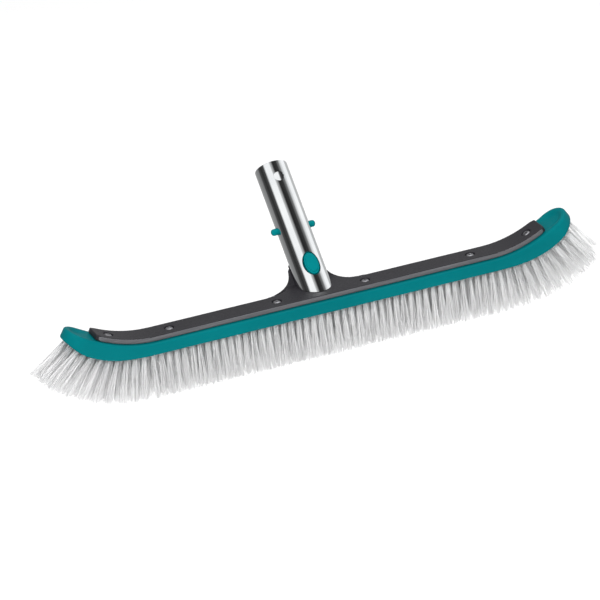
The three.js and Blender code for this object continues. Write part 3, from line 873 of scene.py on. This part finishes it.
def make_bristle_row(row, material):
    rng = random.Random(200 + row)
    across = (row - (ROWS - 1) / 2) * ROW_PITCH
    arcs, reach = tuft_arcs(across, row % 2 == 1)
    points, faces, shades = [], [], []
    for arc in arcs:
        thickness = body_thickness(arc)
        _, _, angle = spine(arc)
        end = smooth(0.80, 1.0, abs(arc) / reach)
        lean = (LEFT_FAN if arc < 0 else RIGHT_FAN) * end + rng.gauss(0, 0.012)
        splay = across / (BODY_WIDTH / 2) * (0.03 + 0.07 * end) + rng.gauss(0, 0.012)
        tangent = Vector((math.cos(angle), 0, math.sin(angle)))
        down = Vector((math.sin(angle), 0, -math.cos(angle)))
        way = (down + tangent * lean + Vector((0, splay, 0))).normalized()
        middle = on_spine(arc, across, ROOT_DEPTH - thickness)
        for _ in range(FILAMENTS_PER_TUFT):
            radius = TUFT_RADIUS * math.sqrt(rng.random())
            turn = rng.uniform(0, 2 * math.pi)
            off_along, off_across = radius * math.cos(turn), radius * math.sin(turn)
            root = middle + tangent * off_along + Vector((0, off_across, 0))
            spread = 2.5 + 0.6 * end + rng.uniform(-0.3, 0.3)
            length = BRISTLE_LENGTH + ROOT_DEPTH - rng.uniform(0.05, 0.8) * MM
            tip = (middle + way * length + tangent * off_along * spread
                   + Vector((0, off_across * spread * SPREAD_ACROSS, 0)))
            tip += tangent * rng.gauss(0, 0.55 * MM) + Vector((0, rng.gauss(0, 0.35 * MM), 0))
            bow = tangent * rng.gauss(0, 0.4 * MM) + Vector((0, rng.gauss(0, 0.25 * MM), 0))
            if tip.z < FLOOR_GAP:
                tip.z = FLOOR_GAP + rng.uniform(0, 0.5) * MM
            add_filament(points, faces, shades, rng, root, tip, bow)
    mesh = bpy.data.meshes.new(f"nylon_row_{row + 1}")
    mesh.from_pydata([tuple(p) for p in points], [], faces)
    layer = mesh.attributes.new("shade", "FLOAT", "POINT")
    layer.data.foreach_set("value", shades)
    made = new_object(f"nylon_row_{row + 1}", mesh, material)
    mesh.shade_smooth()
    finish_piece(made, "brush", "bristle_nylon", f"bristle_row_{row + 1}")


# ---- Studio ----
# Degrees round the tube from its side nearest the camera, and the brightness that it reflects there.
TUBE_REFLECTIONS = [(-180, 0.42), (-104, 0.24), (-88, 0.06), (-70, 0.03), (-50, 0.06), (-36, 1.0), (-4, 1.0),
                    (6, 0.45), (22, 0.02), (44, 0.03), (60, 0.16), (78, 0.75), (90, 1.0), (112, 1.0),
                    (126, 0.5), (180, 0.5)]
REFLECTION_STRENGTH = 1.1
SURROUND_STRENGTH = 0.75
REFLECTION_TURN = math.radians(17.64)
AIM = (0, 0, 0.05)
FLOOR_SIZE = 40
FLOOR_HEIGHT = -0.25


def math_node(tree, kind, operation, first, second):
    """A node that works one value out of two; the second may be a constant."""
    node = tree.nodes.new(kind)
    node.operation = operation
    tree.links.new(first, node.inputs[0])
    if isinstance(second, Vector):
        node.inputs[1].default_value = second
    else:
        tree.links.new(second, node.inputs[1])
    return node


def background(tree, strength):
    node = tree.nodes.new("ShaderNodeBackground")
    node.inputs["Color"].default_value = (1, 1, 1, 1)
    node.inputs["Strength"].default_value = strength
    return node


def reflected_studio(tree, world_output):
    """Bright softboxes and dark gaps round the tube, seen only in reflections; even white light elsewhere."""
    nodes, links = tree.nodes, tree.links
    direction = nodes.new("ShaderNodeTexCoord").outputs["Generated"]
    front = HANDLE.to_3x3() @ Vector((0, -1, 0))
    right = Vector((1, 0, 0))
    facing = front * math.cos(REFLECTION_TURN) - right * math.sin(REFLECTION_TURN)
    sideways = front * math.sin(REFLECTION_TURN) + right * math.cos(REFLECTION_TURN)
    forward = math_node(tree, "ShaderNodeVectorMath", "DOT_PRODUCT", direction, facing).outputs["Value"]
    across = math_node(tree, "ShaderNodeVectorMath", "DOT_PRODUCT", direction, sideways).outputs["Value"]
    turn = math_node(tree, "ShaderNodeMath", "ARCTAN2", across, forward)
    share = nodes.new("ShaderNodeMapRange")
    share.inputs["From Min"].default_value = -math.pi
    share.inputs["From Max"].default_value = math.pi
    links.new(turn.outputs[0], share.inputs["Value"])
    ramp = nodes.new("ShaderNodeValToRGB")
    ramp.color_ramp.interpolation = "EASE"
    elements = ramp.color_ramp.elements
    while len(elements) > 1:
        elements.remove(elements[-1])
    for number, (degrees, bright) in enumerate(TUBE_REFLECTIONS):
        position = (degrees + 180) / 360
        element = elements[0] if number == 0 else elements.new(position)
        element.position = position
        element.color = (bright, bright, bright, 1)
    links.new(share.outputs["Result"], ramp.inputs["Fac"])
    glossy = background(tree, REFLECTION_STRENGTH)
    links.new(ramp.outputs["Color"], glossy.inputs["Color"])
    even = background(tree, SURROUND_STRENGTH)
    mix = nodes.new("ShaderNodeMixShader")
    rays = nodes.new("ShaderNodeLightPath")
    links.new(rays.outputs["Is Glossy Ray"], mix.inputs["Fac"])
    links.new(even.outputs[0], mix.inputs[1])
    links.new(glossy.outputs[0], mix.inputs[2])
    links.new(mix.outputs[0], world_output.inputs["Surface"])


def area_light(name, place, size, power):
    """A round softbox that points at the brush."""
    data = bpy.data.lights.new(name, "AREA")
    data.shape = "DISK"
    data.size = size
    data.energy = power
    light = bpy.data.objects.new(name, data)
    aim = (Vector(AIM) - Vector(place)).to_track_quat("-Z", "Y")
    light.matrix_world = Matrix.Translation(place) @ aim.to_matrix().to_4x4()
    bpy.context.scene.collection.objects.link(light)
    return light


def make_studio():
    world = bpy.data.worlds.new("studio")
    world.use_nodes = True
    bpy.context.scene.world = world
    tree = world.node_tree
    tree.nodes.clear()
    reflected_studio(tree, tree.nodes.new("ShaderNodeOutputWorld"))
    area_light("key", (-1.6, -2.2, 2.6), 1.6, 40)
    area_light("top", (0.6, 0.6, 3.0), 2.0, 35)
    front = area_light("front", (-0.6, -2.4, 0.9), 1.0, 28)
    front.visible_glossy = False
    bpy.ops.mesh.primitive_plane_add(size=FLOOR_SIZE, location=(0, 0, FLOOR_HEIGHT))
    floor = bpy.context.object
    floor.name = "floor"
    floor.data.materials.append(floor_material())
    floor.visible_glossy = False
    scene = bpy.context.scene
    scene.view_settings.view_transform = "Standard"
    scene.view_settings.look = "None"


# ---- Assembly ----
def main():
    make_camera()
    make_studio()
    teal_body = teal_plastic("teal_body_plastic", *TEAL_BODY, 0.42)
    teal_lock = teal_plastic("teal_lock_plastic", *TEAL_LOCK, 0.36)
    steel = plain_steel("screw_steel", 0.3, 0.45, SCREW_GREY)
    wire = plain_steel("spring_wire", 0.16, 0.3, WIRE_GREY)
    black = black_plastic()
    white = nylon()
    make_body(teal_body)
    make_plate(dark_coat(), front_face_highlight())
    make_back_screws(steel)
    make_handle_screws(steel)
    make_tube(polished_metal())
    moulded("thumb_button", "release_button", FINE_VOXEL, 4, teal_lock, "button", "teal_lock")
    moulded("left_lock", "lock_slider_left", FINE_VOXEL, 3, teal_lock, "lock_left", "teal_lock")
    moulded("right_lock", "lock_slider_right", FINE_VOXEL, 3, teal_lock, "lock_right", "teal_lock")
    moulded("carrier_block", "clip_carrier", CLIP_VOXEL, 3, black, "brush", "black_clip")
    moulded("cover_block", "clip_cover", CLIP_VOXEL, 3, black, "brush", "black_clip")
    make_spring(wire)
    for row in range(ROWS):
        make_bristle_row(row, white)


main()
